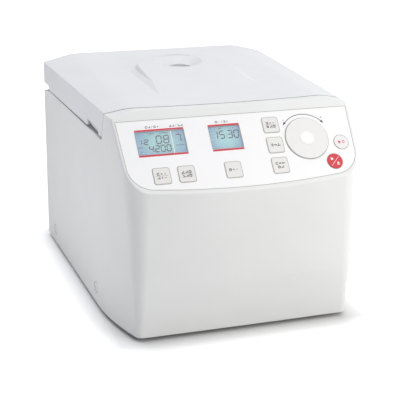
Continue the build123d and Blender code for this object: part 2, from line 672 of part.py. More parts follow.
def vibration_mounts():
    parts = []
    for a in mount_angles:
        mount = turned([(0, plate_z + plate_t), (9, plate_z + plate_t), (7.2, 15), (9, 21), (0, 21)], 0, 0)
        parts.append(Pos(0, spin_y, 0) * Rot(0, 0, a) * Pos(mount_r, 0, 0) * mount)
    return Compound(children=parts)


def mount_bolts():
    parts = []
    for a in mount_angles:
        bolt = rod(mount_r, 0, 24, 29, 5.2) + rod(mount_r, 0, 21, 24, 3.1)
        parts.append(Pos(0, spin_y, 0) * Rot(0, 0, a) * bolt)
    return Compound(children=parts)


def imbalance_switch():
    body = block(52, 62, spin_y - 8, spin_y + 8, 26, 44)
    return body + block(50.6, 52, spin_y - 3, spin_y + 3, 36, 50)


# ---- rotor --------------------------------------------------------------------
def rotor_body():
    """Drum with two upright plate pockets, thumb cut-outs and a well for the hub."""
    y, r, z0, z1 = spin_y, rotor_r, rotor_low_z, rotor_high_z
    drum = turned([(0, z0), (r - 6, z0), (r, z0 + 6), (r, z1 - 3), (r - 1.5, z1), (0, z1)])
    pocket_w = plate_h + 2 * pocket_clear
    pocket_l = plate_l + 2 * pocket_clear
    inner_wall = 2.5
    cuts = []
    for s in (-1, 1):
        x0, x1 = sorted((s * pocket_x, s * (pocket_x + pocket_w)))
        cuts.append(block(x0, x1, y - pocket_l / 2, y + pocket_l / 2, z0 + 6, z1 + 5))
        x0, x1 = sorted((s * (pocket_x - inner_wall - 1), s * (pocket_x + 1)))
        cuts.append(block(x0, x1, y - 32, y + 32, z0 + 40, z1 + 5))
        x0, x1 = sorted((s * (pocket_x + pocket_w + 4), s * (r + 5)))
        pocket = block(x0, x1, y - 70, y + 70, z0 + 6, z1 + 5) & rod(0, y, z0, z1 + 9, r - 3)
        cuts.append(pocket)
        x0, x1 = sorted((s * (pocket_x + pocket_w - 1), s * (pocket_x + pocket_w + 5)))
        cuts.append(block(x0, x1, y - 22, y + 22, z1 - 22, z1 + 5))
    well = block(-(pocket_x - inner_wall), pocket_x - inner_wall, y - 90, y + 90, z0 + 14, z1 + 5)
    cuts.append(well & rod(0, y, z0, z1 + 9, r - 3.5))
    cuts.append(rod(0, y, z0 - 5, z1, 16.5))
    drum = drum - Compound(cuts)
    ribs = []
    for s in (-1, 1):
        for dy in (-20, 20):
            x0, x1 = sorted((s * (pocket_x + pocket_w + 3), s * (r - 2)))
            rib = block(x0, x1, y + dy - 1.2, y + dy + 1.2, z0 + 5, z1 - 24)
            ribs.append(rib & rod(0, y, z0, z1, r - 1))
    return drum + Compound(ribs)


def rotor_hub():
    """Metal boss that seats on the cone of the shaft."""
    boss = turned([(shaft_r + 0.02, 97), (22, 97), (22, 98), (16.4, 98), (16.4, 112), (24, 112), (24, 115),
                   (18, 118), (4.1, 118), (4.1, 116.2), (4.56, 116.1), (shaft_r + 0.02, 104)])
    return boss


def rotor_nut():
    """Hand nut that clamps the rotor, with finger flutes and a bore for the key."""
    nut = turned([(4.05, 118), (16, 118), (18, 121), (18, 134), (15.5, 137), (4.05, 137)])
    flutes = [Pos(0, spin_y, 0) * Rot(0, 0, a) * rod(20.2, 0, 110, 140, 4.4) for a in range(0, 360, 60)]
    return nut - Compound(flutes)


# ---- base, rear and electrics ---------------------------------------------------
def bottom_plan(inset, z):
    return outline(z, *low_plan, inset)


def base_plate():
    sheet = extrude(bottom_plan(wall + 0.6, plate_z), plate_t)
    cuts = [rod(x, y, 0, 20, 2.2) for x, y in base_screw_places + foot_places]
    for x in (-60, -45, -30, -15, 0, 15, 30, 45, 60):
        cuts.append(Pos(x, -105, plate_z) * extrude(SlotOverall(60, 5, rotation=90), 5, both=True))
    cuts += [Pos(0, spin_y, 0) * Rot(0, 0, a) * rod(mount_r, 0, 0, 20, 3.2) for a in mount_angles]
    sheet = sheet - Compound(cuts)
    flanges = [block(-100, 100, -168, -166.5, plate_z, 22), block(-118, -116.5, -100, 120, plate_z, 20),
               block(116.5, 118, -100, 120, plate_z, 20)]
    return sheet + Compound(flanges)


def feet():
    """Rubber suction feet, hollow underneath."""
    parts = []
    for x, y in foot_places:
        foot = Plane.XZ * make_face(Polyline((3, plate_z), (11, plate_z), (12, 6.5), (13.5, 0), (10.5, 0),
                                             (8, 3.5), (3, 4.0), close=True))
        parts.append(Pos(x, y, 0) * revolve(foot, Axis.Z))
    return Compound(children=parts)


def base_screws():
    """Screws of the base plate and of the feet."""
    screws = [rod(x, y, plate_z - 2.2, plate_z, 3.6) + rod(x, y, plate_z, plate_z + 14, 1.55)
              for x, y in base_screw_places]
    screws += [rod(x, y, 2.4, 4.0, 2.9) + rod(x, y, 4.0, 14, 2.0) for x, y in foot_places]
    return Compound(children=screws)


def side_caps():
    """Round covers over the lower case screws on both flanks."""
    caps = []
    for y, z in cap_places:
        x = side_x(z, y)
        caps += both_sides(cross_rod(y, z, x - 2.2, x - 0.3, cap_r) + cross_rod(y, z, x - 8, x - 2.2, 2.7))
    return Compound(children=caps)


def rear_panel():
    """Steel panel with pressed louvres and the cut-outs for the mains pieces."""
    y0, y1 = back_y, back_y + 1.5
    sheet = Pos(0, y0, 104) * Rot(-90, 0, 0) * extrude(RectangleRounded(250, 178, 6), y1 - y0)
    louvres = []
    for x0, x1 in ((-108, -30), (30, 108)):
        for k in range(9):
            z = 96 + 10 * k
            scoop = along_x([(y0 + 0.3, z), (y0 + 6.0, z), (y0 + 5.2, z + 3.2), (y0 + 0.3, z + 7.5)], x0, x1)
            hollow = along_x([(y0 - 1, z - 1), (y0 + 5.0, z - 1), (y0 + 4.3, z + 2.6), (y0 - 1, z + 6.4)],
                             x0 + 1, x1 - 1)
            louvres.append((scoop, hollow))
    sheet += Compound([s for s, h in louvres])
    sheet -= Compound([h for s, h in louvres])
    cuts = [block(inlet_x - 14.5, inlet_x + 14.5, y0 - 2, y1 + 2, inlet_z - 21.3, inlet_z + 10.5),
            block(switch_x - 11.3, switch_x + 11.3, y0 - 2, y1 + 2, switch_z - 14.1, switch_z + 14.1)]
    cuts += [Pos(x, y0, z) * Rot(90, 0, 0) * Cylinder(1.8, 10) for x, z in rear_screw_places]
    return sheet - Compound(cuts)


def rear_screws():
    return Compound(children=[
        Pos(x, back_y + 2.4, z) * Rot(90, 0, 0) * Cylinder(3.2, 1.8) + Pos(x, back_y - 0.6, z)
        * Rot(90, 0, 0) * Cylinder(1.6, 4.2) for x, z in rear_screw_places])


def power_inlet():
    """Mains inlet: flange, deep socket with clipped corners and three blades, bay for the fuse drawer."""
    x, z = inlet_x, inlet_z
    flange = Pos(x, back_y + 1.5, z - 5) * Rot(-90, 0, 0) * extrude(RectangleRounded(36, 40, 3), 2.0)
    body = block(x - 14.2, x + 14.2, back_y - 22, back_y + 1.5, z - 21, z + 10.2)
    mouth = make_face(Polyline((-12.2, -8.4), (12.2, -8.4), (12.2, 4.0), (8.0, 8.4), (-8.0, 8.4),
                               (-12.2, 4.0), close=True))
    socket = Pos(x, back_y + 6, z) * Rot(90, 0, 0) * extrude(mouth, 23)
    bay = block(x - 11.4, x + 11.4, back_y - 19, back_y + 6, z - 19.4, z - 11.6)
    blades = [block(x + dx - 1, x + dx + 1, back_y - 18, back_y - 1, z + dz - 2, z + dz + 2)
              for dx, dz in ((-7, -2.5), (7, -2.5), (0, 3.0))]
    return Compound(children=[flange + body - socket - bay] + blades)


def fuse_drawer():
    """Drawer with two fuse troughs and a finger lip."""
    x, z = inlet_x, inlet_z - 15.5
    tray = block(x - 11.0, x + 11.0, back_y - 18, back_y + 4.6, z - 3.5, z + 3.5)
    troughs = [block(x + dx - 3.2, x + dx + 3.2, back_y - 16, back_y - 1, z - 1.5, z + 5)
               for dx in (-5.2, 5.2)]
    grip = block(x - 5, x + 5, back_y + 3.4, back_y + 6, z + 1.2, z + 5)
    return tray - Compound(troughs) - grip


def switch_frame():
    x, z = switch_x, switch_z
    flange = Pos(x, back_y + 1.5, z) * Rot(-90, 0, 0) * extrude(RectangleRounded(25, 31, 2), 1.8)
    body = block(x - 11, x + 11, back_y - 16, back_y + 1.5, z - 13.8, z + 13.8)
    return flange + body - block(x - 8.7, x + 8.7, back_y - 12, back_y + 8, z - 11.8, z + 11.8)


def power_rocker():
    """Rocker on its pivot, resting with its lower half in."""
    half = rocker_half
    body = along_x([(-4, -4), (-4, 4), (4.6, half), (3.0, 0), (4.6, -half)], -8.2, 8.2)
    return Pos(switch_x, rocker_y, switch_z) * Rot(-rocker_tilt, 0, 0) * body


def line_filter():
    box = block(64, 112, 118, 152, plate_z + plate_t + 0.2, 46)
    return fillet(box.edges().filter_by(Axis.Z), 2)


def power_board():
    """Motor drive board with its big parts, on the base plate."""
    sheet = block(-108, -52, -60, 40, 18, 19.6)
    posts = [rod(x, y, plate_z + plate_t, 18, 2.5) for x in (-103, -57) for y in (-55, 35)]
    caps = [rod(-70, -40, 19.6, 52, 9), rod(-92, -40, 19.6, 52, 9), rod(-92, -16, 19.6, 40, 7)]
    choke = ring(-70, -10, 19.6, 34, 5, 12)
    sink = block(-108, -64, 14, 36, 19.6, 24)
    fins = [block(-108 + k * 5.25, -106 + k * 5.25, 14, 36, 24, 44) for k in range(9)]
    return sheet + Compound(posts + caps + [choke, sink] + fins)


def supply_board():
    sheet = block(56, 112, -78, 6, 18, 19.6)
    posts = [rod(x, y, plate_z + plate_t, 18, 2.5) for x in (61, 107) for y in (-73, 1)]
    parts = [block(64, 92, -70, -44, 19.6, 44), rod(102, -30, 19.6, 46, 8), block(66, 84, -30, -8, 19.6, 34)]
    return sheet + Compound(posts + parts)


def build_all():
    nodes = {
        "housing_shell": housing_shell(), "membrane_overlay": membrane_overlay(),
        "display_windows": display_windows(), "display_modules": display_modules(),
        "display_glass": display_glass(), "control_board": control_board(),
        "dial_encoder": dial_encoder(), "dial_wheel": dial_wheel(), "dial_centre": dial_centre(),
        "lid_cover": lid_cover(), "lid_liner": lid_liner(), "lid_screws": lid_screws(),
        "lid_gasket": lid_gasket(), "port_collar": port_collar(), "port_window": port_window(),
        "port_tube": port_tube(), "lid_striker": lid_striker(), "lid_hinges": lid_hinges(),
        "hinge_brackets": hinge_brackets(), "hinge_pins": hinge_pins(),
        "top_deck": top_deck(), "deck_screws": deck_screws(),
        "lock_housing": lock_housing(), "lock_hook": lock_hook(), "lock_motor": lock_motor(),
        "chamber_bowl": chamber_bowl(), "guard_ring": guard_ring(), "shaft_boot": shaft_boot(),
        "motor_housing": motor_housing(), "motor_stator": motor_stator(),
        "motor_bearings": motor_bearings(), "motor_shaft": motor_shaft(),
        "motor_plate": motor_plate(), "vibration_mounts": vibration_mounts(),
        "mount_bolts": mount_bolts(), "imbalance_switch": imbalance_switch(),
        "rotor_body": rotor_body(), "rotor_hub": rotor_hub(), "rotor_nut": rotor_nut(),
        "base_plate": base_plate(), "base_feet": feet(), "base_screws": base_screws(),
        "side_caps": side_caps(), "rear_panel": rear_panel(), "rear_screws": rear_screws(),
        "power_inlet": power_inlet(), "fuse_drawer": fuse_drawer(),
        "switch_frame": switch_frame(), "power_rocker": power_rocker(),
        "line_filter": line_filter(), "power_board": power_board(), "supply_board": supply_board()}
    nodes.update({name: square_key(*place) for name, place in keys.items()})
    nodes.update({name: round_button(*place) for name, place in buttons.items()})
    return nodes


os.makedirs("parts", exist_ok=True)
for node, shape in build_all().items():
    export_step(shape, "parts/" + node + ".step")
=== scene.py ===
import bpy
import bmesh
import json
from math import cos, pi, radians, sin
from mathutils import Matrix, Vector


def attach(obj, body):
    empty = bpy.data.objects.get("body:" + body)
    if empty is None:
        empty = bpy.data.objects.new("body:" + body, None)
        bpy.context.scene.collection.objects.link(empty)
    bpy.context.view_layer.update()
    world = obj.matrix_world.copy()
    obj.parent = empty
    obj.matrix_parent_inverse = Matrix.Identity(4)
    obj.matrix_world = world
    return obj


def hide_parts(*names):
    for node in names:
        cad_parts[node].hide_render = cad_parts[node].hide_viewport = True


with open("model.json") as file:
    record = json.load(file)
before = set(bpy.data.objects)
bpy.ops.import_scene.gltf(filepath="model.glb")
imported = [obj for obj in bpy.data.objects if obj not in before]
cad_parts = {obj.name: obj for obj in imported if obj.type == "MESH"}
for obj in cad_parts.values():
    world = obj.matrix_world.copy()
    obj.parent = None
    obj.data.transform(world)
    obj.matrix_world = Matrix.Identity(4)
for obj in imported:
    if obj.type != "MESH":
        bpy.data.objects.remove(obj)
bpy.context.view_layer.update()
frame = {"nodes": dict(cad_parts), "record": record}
nodes = frame["nodes"]
mm = 0.001
print("frame loaded,", len(nodes), "nodes")


# camera
cameraView = {"place": (-0.4146, -1.2385, 0.5418), "aim": (0.01144, 0.0152, 0.08627), "roll": 0.7785,
              "lens": 101.97, "sensor": 36, "nearest": 0.05, "farthest": 30}


def makeCamera():
    data = bpy.data.cameras.new("camera")
    data.lens = cameraView["lens"]
    data.sensor_width = cameraView["sensor"]
    data.clip_start = cameraView["nearest"]
    data.clip_end = cameraView["farthest"]
    camera = bpy.data.objects.new("camera", data)
    place = Vector(cameraView["place"])
    back = (place - Vector(cameraView["aim"])).normalized()
    right = Vector((0, 0, 1)).cross(back).normalized()
    up = back.cross(right)
    turn = Matrix((right, up, back)).transposed() @ Matrix.Rotation(radians(cameraView["roll"]), 3, "Z")
    camera.matrix_world = Matrix.Translation(place) @ turn.to_4x4()
    bpy.context.scene.collection.objects.link(camera)
    bpy.context.scene.camera = camera


makeCamera()
bpy.context.scene.view_settings.view_transform = "Standard"
print("camera placed")


# node helpers
def addNode(tree, kind, settings=None, inputs=None):
    node = tree.nodes.new(kind)
    for name, value in (settings or {}).items():
        setattr(node, name, value)
    for name, value in (inputs or {}).items():
        node.inputs[name].default_value = value
    return node


def newMaterial(name):
    material = bpy.data.materials.new(name)
    material.use_nodes = True
    tree = material.node_tree
    return material, tree, tree.nodes["Principled BSDF"]


def objectPoint(tree, scale=(1, 1, 1), shift=(0, 0, 0)):
    source = addNode(tree, "ShaderNodeTexCoord")
    mapping = addNode(tree, "ShaderNodeMapping", {"vector_type": "POINT"}, {"Scale": scale, "Location": shift})
    tree.links.new(source.outputs["Object"], mapping.inputs["Vector"])
    return mapping.outputs["Vector"]


def noise(tree, point, scale, detail=2.0, roughness=0.5):
    node = addNode(tree, "ShaderNodeTexNoise",
                   inputs={"Scale": scale, "Detail": detail, "Roughness": roughness})
    tree.links.new(point, node.inputs["Vector"])
    return node.outputs["Fac"]


def mixColours(tree, factor, first, second):
    node = addNode(tree, "ShaderNodeMix", {"data_type": "RGBA"})
    tree.links.new(factor, node.inputs["Factor"])
    for socket, value in ((node.inputs[6], first), (node.inputs[7], second)):  # the node's two colours
        if isinstance(value, tuple):
            socket.default_value = (*value, 1)
        else:
            tree.links.new(value, socket)
    return node.outputs[2]


def spread(tree, value, low, high, fromLow=0.3, fromHigh=0.7):
    # noise seldom leaves 0.3 to 0.7, so those ends are stretched when no others are given
    node = addNode(tree, "ShaderNodeMapRange", inputs={"From Min": fromLow, "From Max": fromHigh,
                                                       "To Min": low, "To Max": high})
    tree.links.new(value, node.inputs["Value"])
    return node.outputs["Result"]


def addBump(tree, shader, height, strength, depth):
    node = addNode(tree, "ShaderNodeBump", inputs={"Strength": strength, "Distance": depth})
    tree.links.new(height, node.inputs["Height"])
    tree.links.new(node.outputs["Normal"], shader.inputs["Normal"])


def setSurface(tree, shader, tone, value, rough, swing, *ends):
    # the colour, and a roughness that swings below and above its middle as the value does
    tree.links.new(tone, shader.inputs["Base Color"])
    below, above = swing
    tree.links.new(spread(tree, value, rough + below, rough + above, *ends), shader.inputs["Roughness"])


def darker(colour, amount):
    return tuple(c * (1 - amount) for c in colour)


def lighter(colour, times):
    return tuple(c * times + 0.02 for c in colour)


# finishes: patterns are given by their scale, a fade is how much darker one gets, a depth is in metres
plasticStyle = {"cloud": 14.0, "swing": (-0.05, 0.06), "depth": 0.00012}


def mouldedPlastic(name, colour, rough, grain=1500.0, bump=0.12, mottle=0.03):
    material, tree, shader = newMaterial(name)
    point = objectPoint(tree)
    fine = noise(tree, point, grain, 3.0)
    cloud = noise(tree, point, plasticStyle["cloud"])
    tone = mixColours(tree, spread(tree, cloud, 0, 1), colour, darker(colour, mottle))
    setSurface(tree, shader, tone, fine, rough, plasticStyle["swing"])
    addBump(tree, shader, fine, bump, plasticStyle["depth"])
    return material


inkStyle = {"dots": 5200.0, "fade": 0.12, "swing": (0, 0.12)}


def printedInk(name, colour, rough=0.45):
    material, tree, shader = newMaterial(name)
    dots = noise(tree, objectPoint(tree), inkStyle["dots"], 1.0)
    tone = mixColours(tree, spread(tree, dots, 0, 1), colour, darker(colour, inkStyle["fade"]))
    setSurface(tree, shader, tone, dots, rough, inkStyle["swing"])
    return material


brushStyle = {"lines": 2600.0, "stretch": (1, 1, 0.02), "lineEnds": (0.25, 0.75), "fade": 0.14,
              "cloud": 22.0, "cloudShare": 0.35, "cloudFade": 0.25,
              "rough": 0.32, "swing": (-0.07, 0.1), "bump": 0.12, "depth": 0.00005}


def brushedMetal(name, colour):
    style = brushStyle
    material, tree, shader = newMaterial(name)
    lines = noise(tree, objectPoint(tree, scale=style["stretch"]), style["lines"], 3.0, 0.6)
    cloud = noise(tree, objectPoint(tree), style["cloud"])
    streaks = spread(tree, lines, 0, 1, *style["lineEnds"])
    tone = mixColours(tree, streaks, colour, darker(colour, style["fade"]))
    patches = spread(tree, cloud, 0, style["cloudShare"])
    tone = mixColours(tree, patches, tone, darker(colour, style["cloudFade"]))
    setSurface(tree, shader, tone, lines, style["rough"], style["swing"])
    shader.inputs["Metallic"].default_value = 1.0
    addBump(tree, shader, lines, style["bump"], style["depth"])
    return material


turnStyle = {"centre": (0, 0.068), "rings": 900.0, "wobble": 0.6, "fade": 0.1,
             "cloud": 30.0, "cloudShare": 0.4, "cloudFade": 0.2,
             "swing": (-0.05, 0.1), "bump": 0.1, "depth": 0.00003}


def turnedMetal(name, colour, rough):
    # rings round the chamber's axis
    style = turnStyle
    material, tree, shader = newMaterial(name)
    point = objectPoint(tree, shift=(-style["centre"][0], -style["centre"][1], 0))
    rings = addNode(tree, "ShaderNodeTexWave",
                    {"wave_type": "RINGS", "rings_direction": "Z", "wave_profile": "SIN"},
                    {"Scale": style["rings"], "Distortion": style["wobble"], "Detail": 1.0})
    tree.links.new(point, rings.inputs["Vector"])
    cloud = noise(tree, point, style["cloud"], 3.0)
    tone = mixColours(tree, rings.outputs["Fac"], colour, darker(colour, style["fade"]))
    patches = spread(tree, cloud, 0, style["cloudShare"])
    tone = mixColours(tree, patches, tone, darker(colour, style["cloudFade"]))
    setSurface(tree, shader, tone, cloud, rough, style["swing"])
    shader.inputs["Metallic"].default_value = 1.0
    addBump(tree, shader, rings.outputs["Fac"], style["bump"], style["depth"])
    return material


castStyle = {"pits": 900.0, "cloud": 40.0, "fade": 0.18, "metal": 0.85,
             "rough": 0.5, "swing": (-0.08, 0.12), "bump": 0.35, "depth": 0.0002}


def castMetal(name, colour):
    style = castStyle
    material, tree, shader = newMaterial(name)
    point = objectPoint(tree)
    pits = noise(tree, point, style["pits"], 5.0, 0.6)
    cloud = noise(tree, point, style["cloud"])
    tone = mixColours(tree, spread(tree, cloud, 0, 1), colour, darker(colour, style["fade"]))
    setSurface(tree, shader, tone, pits, style["rough"], style["swing"])
    shader.inputs["Metallic"].default_value = style["metal"]
    addBump(tree, shader, pits, style["bump"], style["depth"])
    return material


zincStyle = {"flakes": 130.0, "grain": 700.0, "fade": 0.16,
             "rough": 0.38, "swing": (-0.06, 0.1), "bump": 0.1, "depth": 0.00008}


def zincSheet(name, colour):
    style = zincStyle
    material, tree, shader = newMaterial(name)
    point = objectPoint(tree)
    flakes = addNode(tree, "ShaderNodeTexVoronoi", {"feature": "F1"},
                     {"Scale": style["flakes"], "Randomness": 1.0})
    tree.links.new(point, flakes.inputs["Vector"])
    split = addNode(tree, "ShaderNodeSeparateColor")
    tree.links.new(flakes.outputs["Color"], split.inputs["Color"])
    tone = mixColours(tree, split.outputs["Red"], colour, darker(colour, style["fade"]))
    setSurface(tree, shader, tone, split.outputs["Green"], style["rough"], style["swing"], 0, 1)
    shader.inputs["Metallic"].default_value = 1.0
    addBump(tree, shader, noise(tree, point, style["grain"], 3.0), style["bump"], style["depth"])
    return material


rubberStyle = {"grain": 2400.0, "dust": 60.0, "dustShare": 0.6, "dustEnds": (0.45, 0.75), "dustLight": 1.5,
               "rough": 0.72, "swing": (-0.05, 0.1), "bump": 0.25, "depth": 0.0001}


def softRubber(name, colour):
    style = rubberStyle
    material, tree, shader = newMaterial(name)
    point = objectPoint(tree)
    fine = noise(tree, point, style["grain"], 4.0)
    dust = spread(tree, noise(tree, point, style["dust"], 3.0), 0, style["dustShare"], *style["dustEnds"])
    tone = mixColours(tree, dust, colour, lighter(colour, style["dustLight"]))
    setSurface(tree, shader, tone, fine, style["rough"], style["swing"])
    addBump(tree, shader, fine, style["bump"], style["depth"])
    return material


clearStyle = {"haze": 90.0, "fade": 0.05, "rough": 0.05, "swing": (0, 0.03), "bending": 1.49}


def clearSheet(name, colour, alpha):
    style = clearStyle
    material, tree, shader = newMaterial(name)
    haze = noise(tree, objectPoint(tree), style["haze"], 3.0)
    tone = mixColours(tree, spread(tree, haze, 0, 1), colour, darker(colour, style["fade"]))
    setSurface(tree, shader, tone, haze, style["rough"], style["swing"])
    shader.inputs["Alpha"].default_value = alpha
    shader.inputs["IOR"].default_value = style["bending"]
    return material


boardStyle = {"tracks": {"Scale": 160.0, "Mortar Size": 0.025, "Brick Width": 0.9, "Row Height": 0.35},
              "trackLight": 1.9, "cloud": 180.0, "cloudShare": 0.5, "cloudFade": 0.3,
              "rough": 0.35, "swing": (-0.07, 0.07), "bump": 0.2, "depth": 0.0001}


def circuitBoard(name, colour):
    style = boardStyle
    material, tree, shader = newMaterial(name)
    point = objectPoint(tree)
    tracks = addNode(tree, "ShaderNodeTexBrick", inputs=style["tracks"])
    tree.links.new(point, tracks.inputs["Vector"])
    cloud = noise(tree, point, style["cloud"], 1.0)
    tone = mixColours(tree, tracks.outputs["Fac"], colour, lighter(colour, style["trackLight"]))
    patches = spread(tree, cloud, 0, style["cloudShare"])
    tone = mixColours(tree, patches, tone, darker(colour, style["cloudFade"]))
    setSurface(tree, shader, tone, cloud, style["rough"], style["swing"])
    addBump(tree, shader, tracks.outputs["Fac"], style["bump"], style["depth"])
    return material


finishes = {
    "case_white": mouldedPlastic("caseWhite", (0.80, 0.81, 0.80), 0.46),
    "lid_white": mouldedPlastic("lidWhite", (0.79, 0.80, 0.81), 0.46),
    "overlay_white": mouldedPlastic("overlayWhite", (0.90, 0.90, 0.905), 0.36, grain=900.0, bump=0.05,
                                    mottle=0.01),
    "key_grey": mouldedPlastic("keyGrey", (0.79, 0.775, 0.755), 0.4, grain=900.0, bump=0.06, mottle=0.01),
    "dial_grey": mouldedPlastic("dialGrey", (0.80, 0.795, 0.785), 0.38, grain=1200.0, bump=0.06, mottle=0.01),
    "start_grey": mouldedPlastic("startGrey", (0.82, 0.80, 0.80), 0.38, grain=900.0, bump=0.06, mottle=0.01),
    "stop_red": mouldedPlastic("stopRed", (0.60, 0.035, 0.05), 0.36, grain=900.0, bump=0.06),
    "screen_lens": clearSheet("screenLens", (0.92, 0.97, 0.98), 0.1),
    "screen_teal": printedInk("screenTeal", (0.30, 0.55, 0.62)),
    "board_green": circuitBoard("boardGreen", (0.03, 0.14, 0.06)),
    "black_plastic": mouldedPlastic("blackPlastic", (0.025, 0.025, 0.028), 0.5, bump=0.2),
    "port_clear": clearSheet("portClear", (0.84, 0.86, 0.87), 0.8),
    "tube_grey": mouldedPlastic("tubeGrey", (0.16, 0.165, 0.175), 0.5),
    "rubber_dark": softRubber("rubberDark", (0.022, 0.022, 0.024)),
    "rubber_grey": softRubber("rubberGrey", (0.12, 0.125, 0.13)),
    "steel": brushedMetal("steel", (0.60, 0.61, 0.62)),
    "stainless": turnedMetal("stainless", (0.66, 0.67, 0.68), 0.26),
    "zinc_sheet": zincSheet("zincSheet", (0.55, 0.56, 0.57)),
    "rear_paint": mouldedPlastic("rearPaint", (0.70, 0.71, 0.72), 0.5, grain=700.0, bump=0.25),
    "deck_grey": mouldedPlastic("deckGrey", (0.28, 0.29, 0.30), 0.5),
    "rotor_alloy": turnedMetal("rotorAlloy", (0.42, 0.44, 0.47), 0.34),
    "motor_alloy": castMetal("motorAlloy", (0.45, 0.46, 0.47)),
}


def dressNodes():
    for row in frame["record"]["subparts"]:
        node = nodes[row["node"]]
        finish = finishes[row["material_slot"]]
        if not node.material_slots:
            node.data.materials.append(finish)
        for slot in node.material_slots:
            slot.material = finish


dressNodes()
print("finishes made:", len(finishes))


# studio: an even sky, two wide suns, two soft lamps near the front and a glowing card on the floor at the left
studio = {"sky": 0.3, "skyTint": (0.945, 0.955, 1.0), "lampAim": (0, 0, 0.12), "sunDistance": 3}
suns = {
    "topSun": {"from": (0.2, -0.15, 0.97), "strength": 0.76, "spread": 45, "colour": (0.98, 0.995, 1.0)},
    "highSun": {"from": (-0.12, 0.35, 0.93), "strength": 1.28, "spread": 45, "colour": (0.945, 0.96, 0.995)}}
lamps = {
    "frontLamp": {"from": (0.46, -0.9, 0.5), "aim": studio["lampAim"], "power": 2.9, "size": 0.45,
                  "colour": (1.0, 0.97, 0.93)},
    "rightLamp": {"from": (0.75, -0.45, 0.35), "aim": studio["lampAim"], "power": 1.3, "size": 0.45,
                  "colour": (1.0, 0.97, 0.92)},
    "leftCard": {"from": (-0.34, -0.05, 0.008), "aim": (-0.3, -0.05, 0.2), "power": 0.32, "size": 0.28,
                 "colour": (0.9, 0.92, 1.0)}}
# the paper glows for the camera except close round the object, where its shadow lies; there its tone is also
# painted darker, a painted contact shadow
paperStyle = {"tone": 0.95, "bounce": 0.8, "half": (0.14, 0.18), "glow": (0.0, 0.46), "fade": 0.035,
              "paintedShadowTone": 0.73, "paintedShadowHalf": (0.105, 0.186), "paintedShadowFade": 0.045,
              "rough": 0.9, "gloss": 0.1, "radius": 6, "sides": 64}


def seenDirectly(tree):
    # 1 for what the camera sees straight, in gloss or through glass
    rays = addNode(tree, "ShaderNodeLightPath")
    seen = rays.outputs["Is Camera Ray"]
    for kind in ("Is Glossy Ray", "Is Transmission Ray"):
        either = addNode(tree, "ShaderNodeMath", {"operation": "MAXIMUM"})
        tree.links.new(seen, either.inputs[0])
        tree.links.new(rays.outputs[kind], either.inputs[1])
        seen = either.outputs["Value"]
    return seen


def distanceOut(tree, half):
    # how far a point of the paper lies outside a box of those half sides
    away = addNode(tree, "ShaderNodeVectorMath", {"operation": "ABSOLUTE"})
    tree.links.new(objectPoint(tree), away.inputs[0])
    outside = addNode(tree, "ShaderNodeVectorMath", {"operation": "SUBTRACT"})
    outside.inputs[1].default_value = (*half, 0)
    tree.links.new(away.outputs["Vector"], outside.inputs[0])
    beyond = addNode(tree, "ShaderNodeVectorMath", {"operation": "MAXIMUM"})
    tree.links.new(outside.outputs["Vector"], beyond.inputs[0])
    distance = addNode(tree, "ShaderNodeVectorMath", {"operation": "LENGTH"})
    tree.links.new(beyond.outputs["Vector"], distance.inputs[0])
    return distance.outputs["Value"]


def makeLamp(name, kind, place, aim, colour, energy):
    data = bpy.data.lights.new(name, kind)
    data.energy = energy
    data.color = colour
    lamp = bpy.data.objects.new(name, data)
    lamp.location = place
    lamp.rotation_euler = (Vector(aim) - Vector(place)).to_track_quat("-Z", "Y").to_euler()
    lamp.visible_camera = False
    bpy.context.scene.collection.objects.link(lamp)
    return data


def makeLights():
    world = bpy.data.worlds.new("studio")
    bpy.context.scene.world = world
    world.use_nodes = True
    tree = world.node_tree
    backdrop = tree.nodes["Background"]
    seen = seenDirectly(tree)
    tree.links.new(mixColours(tree, seen, studio["skyTint"], (1, 1, 1)), backdrop.inputs["Color"])
    tree.links.new(spread(tree, seen, studio["sky"], 1.0, 0, 1), backdrop.inputs["Strength"])
    for name, sun in suns.items():
        place = Vector(sun["from"]) * studio["sunDistance"]
        data = makeLamp(name, "SUN", place, studio["lampAim"], sun["colour"], sun["strength"])
        data.angle = radians(sun["spread"])
    for name, lamp in lamps.items():
        data = makeLamp(name, "AREA", lamp["from"], lamp["aim"], lamp["colour"], lamp["power"])
        data.size = lamp["size"]


def paperMaterial():
    material, tree, shader = newMaterial("paper")
    seen = seenDirectly(tree)
    bounce, tone, paintedShadowTone = ((paperStyle[key],) * 3 for key in ("bounce", "tone", "paintedShadowTone"))
    # painted contact shadow: the tone the camera sees darkens towards the object's footprint
    near = spread(tree, distanceOut(tree, paperStyle["paintedShadowHalf"]), 0, 1, 0, paperStyle["paintedShadowFade"])
    near.node.interpolation_type = "SMOOTHSTEP"
    toneWithPaintedShadow = mixColours(tree, near, paintedShadowTone, tone)
    tree.links.new(mixColours(tree, seen, bounce, toneWithPaintedShadow), shader.inputs["Base Color"])
    shader.inputs["Roughness"].default_value = paperStyle["rough"]
    shader.inputs["Specular IOR Level"].default_value = paperStyle["gloss"]
    glow = spread(tree, distanceOut(tree, paperStyle["half"]), *paperStyle["glow"], 0, paperStyle["fade"])
    strength = addNode(tree, "ShaderNodeMath", {"operation": "MULTIPLY"})
    tree.links.new(seen, strength.inputs[0])
    tree.links.new(glow, strength.inputs[1])
    shader.inputs["Emission Color"].default_value = (1, 1, 1, 1)
    tree.links.new(strength.outputs["Value"], shader.inputs["Emission Strength"])
    return material


def makePaper():
    bm = bmesh.new()
    bmesh.ops.create_circle(bm, cap_ends=True, segments=paperStyle["sides"], radius=paperStyle["radius"])
    mesh = bpy.data.meshes.new("paper")
    bm.to_mesh(mesh)
    bm.free()
    mesh.materials.append(paperMaterial())
    paper = bpy.data.objects.new("paper", mesh)
    bpy.context.scene.collection.objects.link(paper)


makeLights()
makePaper()
print("studio ready")


